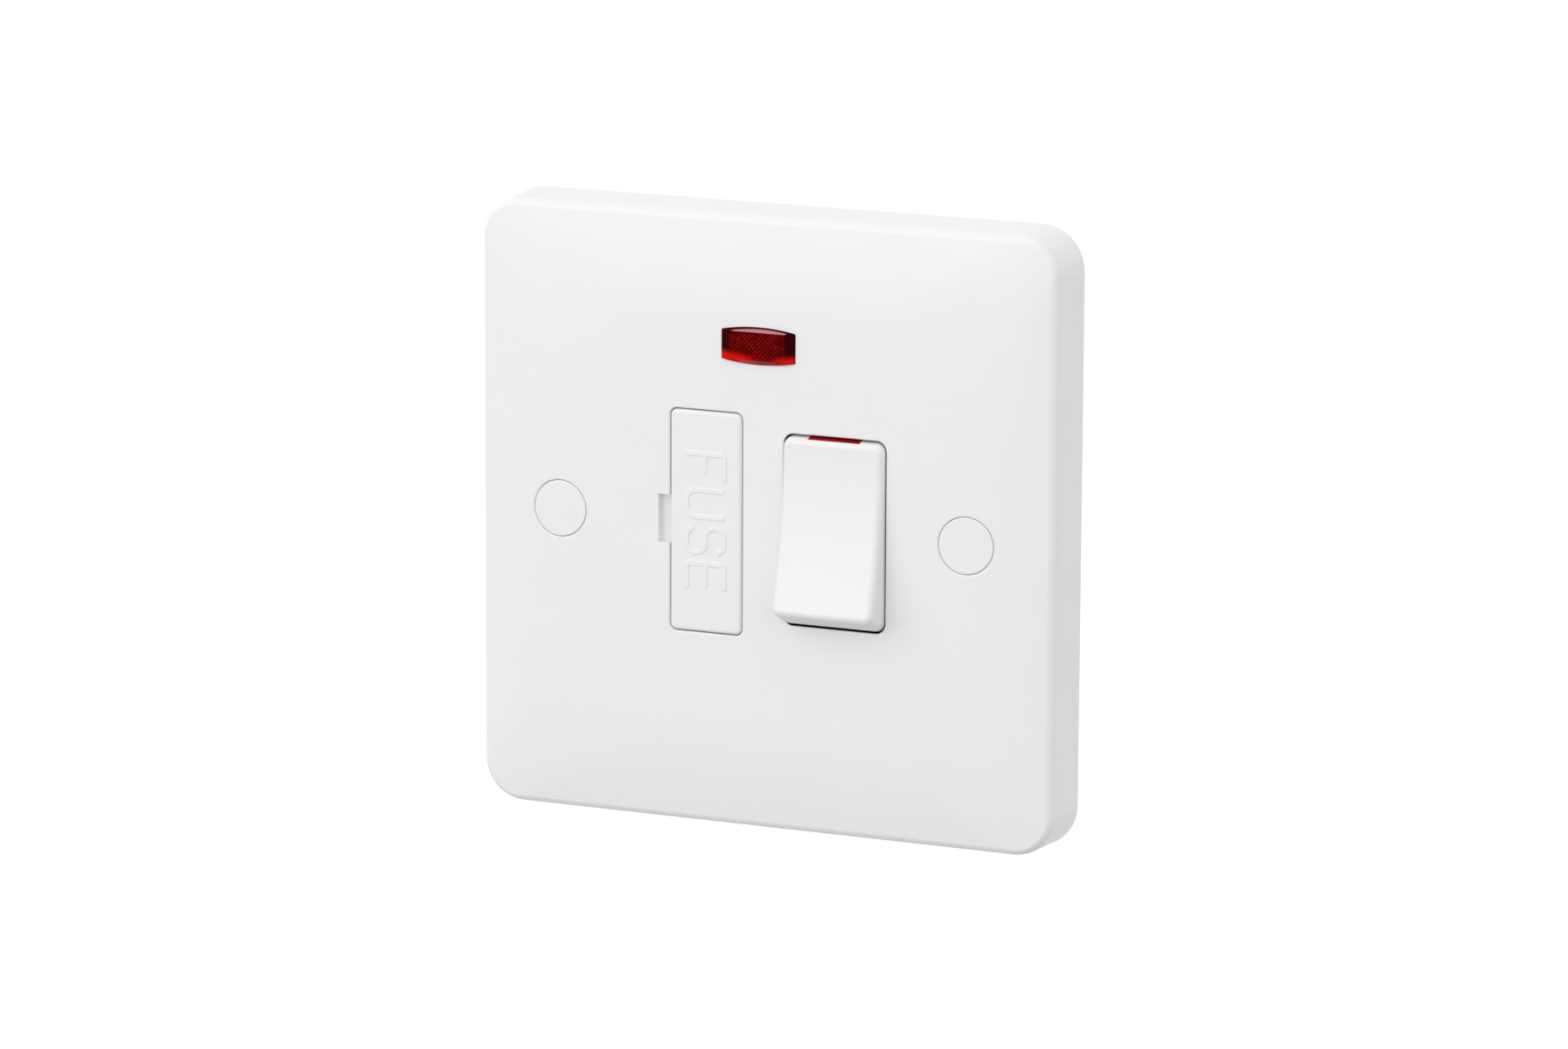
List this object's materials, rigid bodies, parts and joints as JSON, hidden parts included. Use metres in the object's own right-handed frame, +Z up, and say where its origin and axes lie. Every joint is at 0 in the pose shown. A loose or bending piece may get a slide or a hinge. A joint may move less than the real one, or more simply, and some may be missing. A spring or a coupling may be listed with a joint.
{
  "type": "fused spur unit",
  "caption": "Square wall plate with a pull-out fuse carrier, rocker switch and red neon lens, on a moulded base that holds the contacts, fuse clips and cable terminals.",
  "frame": {"origin": "middle of the plate's back, on the wall plane, midway between the two fixing holes", "axes": "+Z up and +X right as the user sees it; the face looks along -Y and the base goes into the wall along +Y"},
  "size_m": [0.086, 0.0304, 0.086],
  "materials": {
    "white_urea": "moulded gloss",
    "rocker_white": "moulded gloss",
    "flag_red": "printed gloss",
    "base_urea": "moulded satin",
    "lens_red": "clear gloss",
    "plunger_nylon": "satin",
    "spring_steel": "drawn",
    "contact_brass": "rolled",
    "contact_silver": "satin",
    "terminal_brass": "machined",
    "screw_steel": "zinc plated",
    "fuse_ceramic": "glazed",
    "fuse_cap_nickel": "plated",
    "bulb_glass": "clear",
    "electrode_nickel": "drawn",
    "lead_copper": "tinned",
    "resistor_coat": "lacquered"
  },
  "bodies": {
    "unit": {"front_plate": "white_urea", "rear_body": "base_urea", "neon_lens": "lens_red", "live_pivot_bracket": "contact_brass", "neutral_pivot_bracket": "contact_brass", "live_fixed_contact": "contact_brass", "neutral_fixed_contact": "contact_brass", "load_live_strip": "contact_brass", "fuse_clip_upper": "contact_brass", "fuse_clip_lower": "contact_brass", "fixed_contact_tips": "contact_silver", "supply_live_terminal": "terminal_brass", "supply_neutral_terminal": "terminal_brass", "load_live_terminal": "terminal_brass", "load_neutral_terminal": "terminal_brass", "earth_terminal": "terminal_brass", "terminal_screws": "screw_steel", "body_screws": "screw_steel", "neon_bulb": "bulb_glass", "neon_electrodes": "electrode_nickel", "neon_leads": "lead_copper", "neon_resistor": "resistor_coat"},
    "rocker": {"rocker": "rocker_white", "rocker_flag": "flag_red", "plungers": "plunger_nylon", "plunger_springs": "spring_steel"},
    "live_contact": {"live_moving_contact": "contact_brass", "live_moving_tip": "contact_silver"},
    "neutral_contact": {"neutral_moving_contact": "contact_brass", "neutral_moving_tip": "contact_silver"},
    "fuse_drawer": {"fuse_carrier": "white_urea", "fuse_barrel": "fuse_ceramic", "fuse_end_caps": "fuse_cap_nickel"},
    "cover_left": {"screw_cover_left": "white_urea"},
    "cover_right": {"screw_cover_right": "white_urea"}
  },
  "joints": [
    {"name": "rocker_switch", "type": "hinge", "parent": "unit", "child": "rocker", "pos_m": [0.01095, -0.007, 0], "axis": [1, 0, 0], "range_deg": [0, 19]},
    {"name": "live_contact_rock", "type": "hinge", "parent": "unit", "child": "live_contact", "pos_m": [0.00765, 0.00393, 0], "axis": [1, 0, 0], "range_deg": [-16, 0]},
    {"name": "neutral_contact_rock", "type": "hinge", "parent": "unit", "child": "neutral_contact", "pos_m": [0.01425, 0.00393, 0], "axis": [1, 0, 0], "range_deg": [-16, 0]},
    {"name": "fuse_drawer_slide", "type": "slide", "parent": "unit", "child": "fuse_drawer", "axis": [0, -1, 0], "range_m": [0, 0.01506]},
    {"name": "cover_left_pull", "type": "slide", "parent": "unit", "child": "cover_left", "axis": [0, -1, 0], "range_m": [0, 0.0045]},
    {"name": "cover_right_pull", "type": "slide", "parent": "unit", "child": "cover_right", "axis": [0, -1, 0], "range_m": [0, 0.0045]}
  ],
  "couplings": [
    {"joint": "live_contact_rock", "follows": "rocker_switch", "ratio": -0.8421},
    {"joint": "neutral_contact_rock", "follows": "rocker_switch", "ratio": -0.8421}
  ]
}
